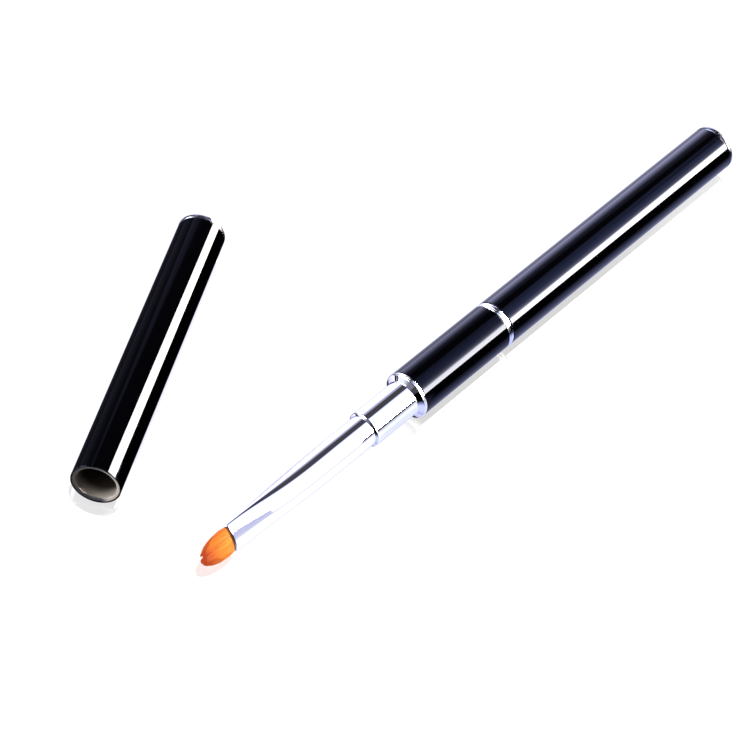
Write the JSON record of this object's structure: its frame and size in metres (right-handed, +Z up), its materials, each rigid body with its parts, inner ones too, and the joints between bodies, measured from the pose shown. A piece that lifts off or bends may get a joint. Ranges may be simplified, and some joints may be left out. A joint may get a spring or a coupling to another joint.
{
  "type": "nail brush",
  "caption": "Slim two-ended nail brush: glossy black barrel, bright collars, oval brush at one end, small spatula at the other, each under a long push-on cap.",
  "frame": {"origin": "centre of the flat face of the rear cap's end disc, on the brush's axis", "axes": "+X along the brush's axis from the bristles to the rear end face, +Z up from the plane the pieces lie on; the loose front cap lies on the +Y side"},
  "size_m": [0.15, 0.0683, 0.0096],
  "materials": {
    "black_lacquer": "high-gloss black lacquer with a cool violet-blue cast, on aluminium tube",
    "chrome": "mirror-bright plated metal",
    "steel": "fine satin stainless steel",
    "liner_plastic": "smooth cream-grey moulded plastic",
    "core_plastic": "plain dark moulded plastic, hidden",
    "dowel_wood": "plain turned wood, hidden",
    "glue": "hard amber resin, hidden",
    "bristle": "orange synthetic hair, redder towards the tip"
  },
  "bodies": {
    "rear_cap": {"rear_cap_tube": "black_lacquer", "rear_cap_liner": "liner_plastic", "rear_cap_end_plug": "core_plastic", "rear_cap_end_disc": "chrome"},
    "handle": {"center_barrel": "black_lacquer", "barrel_core": "core_plastic", "front_trim_ring": "chrome", "front_collar": "chrome", "rear_trim_ring": "chrome", "rear_collar": "chrome", "brush_ferrule": "chrome", "ferrule_dowel": "dowel_wood", "glue_plug": "glue", "bristle_tuft": "bristle", "spatula_sleeve": "chrome", "spatula_blade": "steel"},
    "front_cap": {"front_cap_tube": "black_lacquer", "front_cap_liner": "liner_plastic", "front_cap_end_plug": "core_plastic", "front_cap_end_disc": "chrome"}
  },
  "joints": [
    {"name": "handle_pull", "type": "slide", "parent": "rear_cap", "child": "handle", "axis": [-1, 0, 0], "range_m": [0, 0.056]},
    {"name": "front_cap_swing", "type": "hinge", "parent": "rear_cap", "child": "front_cap", "pos_m": [-0.14592, 0.01302, 0], "axis": [0, 0, 1], "range_deg": [0, 151.67]}
  ]
}
